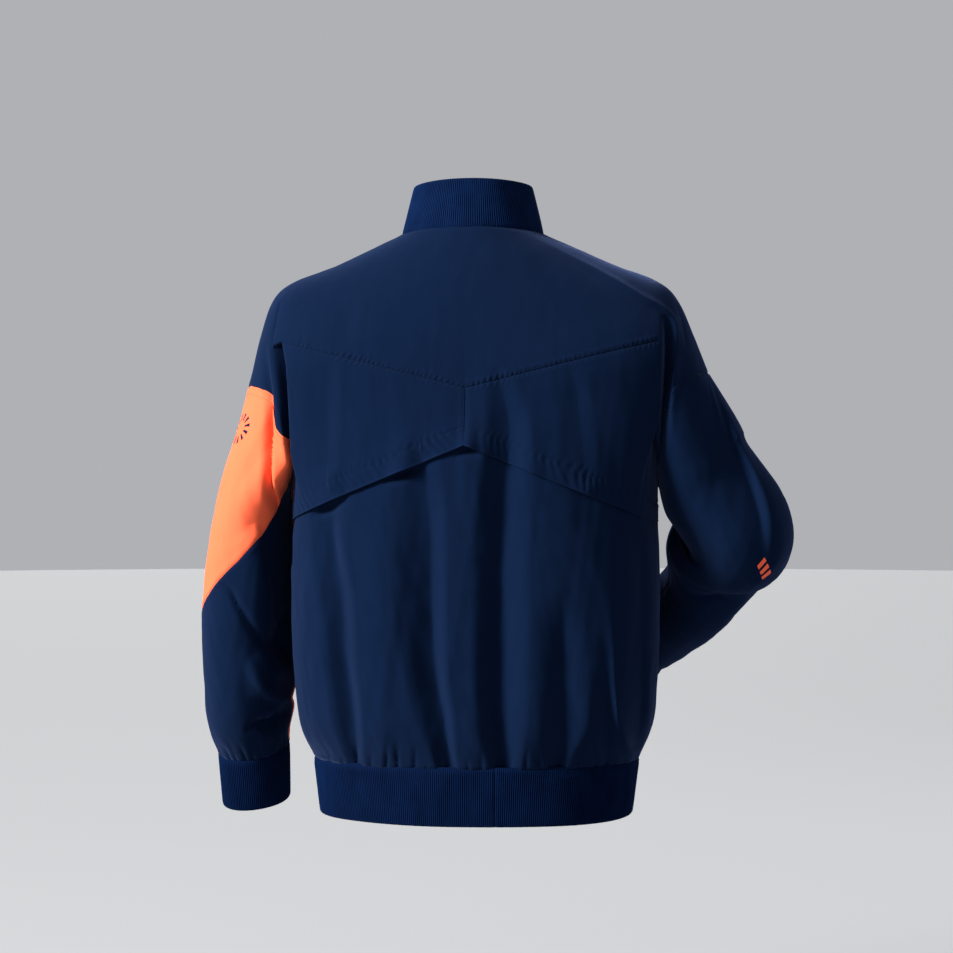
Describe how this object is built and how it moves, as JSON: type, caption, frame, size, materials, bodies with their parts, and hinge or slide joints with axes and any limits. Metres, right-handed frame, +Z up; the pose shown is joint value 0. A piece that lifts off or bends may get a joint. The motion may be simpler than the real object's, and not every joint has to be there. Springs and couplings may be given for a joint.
{
  "type": "windbreaker",
  "caption": "Zipped windbreaker in worn shape, with rib collar, cuffs and waistband, a vented back flap and a coral block on one sleeve.",
  "frame": {"origin": "middle of the neck seam ring at the height of its sides, where the wearer's neck and shoulders carry the garment", "axes": "+Z up the wearer; -Y the way the wearer's front and the zip face; +Y the back; +X the wearer's left"},
  "size_m": [0.6874, 0.3885, 0.7268],
  "materials": {
    "shell_navy": "semi-matt woven navy taffeta",
    "shell_coral": "semi-matt woven coral taffeta",
    "rib_knit": "matt rib knit",
    "zip_tape": "matt woven tape",
    "zip_coil": "moulded teeth",
    "zip_metal": "black painted slider and pull"
  },
  "bodies": {
    "garment": {"back_yoke": "shell_navy", "back_cape_left": "shell_navy", "back_cape_right": "shell_navy", "back_body": "shell_navy", "front_left": "shell_navy", "front_right": "shell_navy", "sleeve_left_block": "shell_coral", "sleeve_left_lower": "shell_navy", "sleeve_right": "shell_navy", "collar": "rib_knit", "waistband": "rib_knit", "cuff_left": "rib_knit", "cuff_right": "rib_knit", "zip_tape_left": "zip_tape", "zip_tape_right": "zip_tape", "zip_chain": "zip_coil", "zip_slider": "zip_metal"},
    "pull": {"zip_pull": "zip_metal"}
  },
  "joints": [
    {"name": "zip_pull_swing", "type": "hinge", "parent": "garment", "child": "pull", "pos_m": [0, -0.07312, -0.03312], "axis": [-1, 0, 0], "range_deg": [0, 170]}
  ]
}
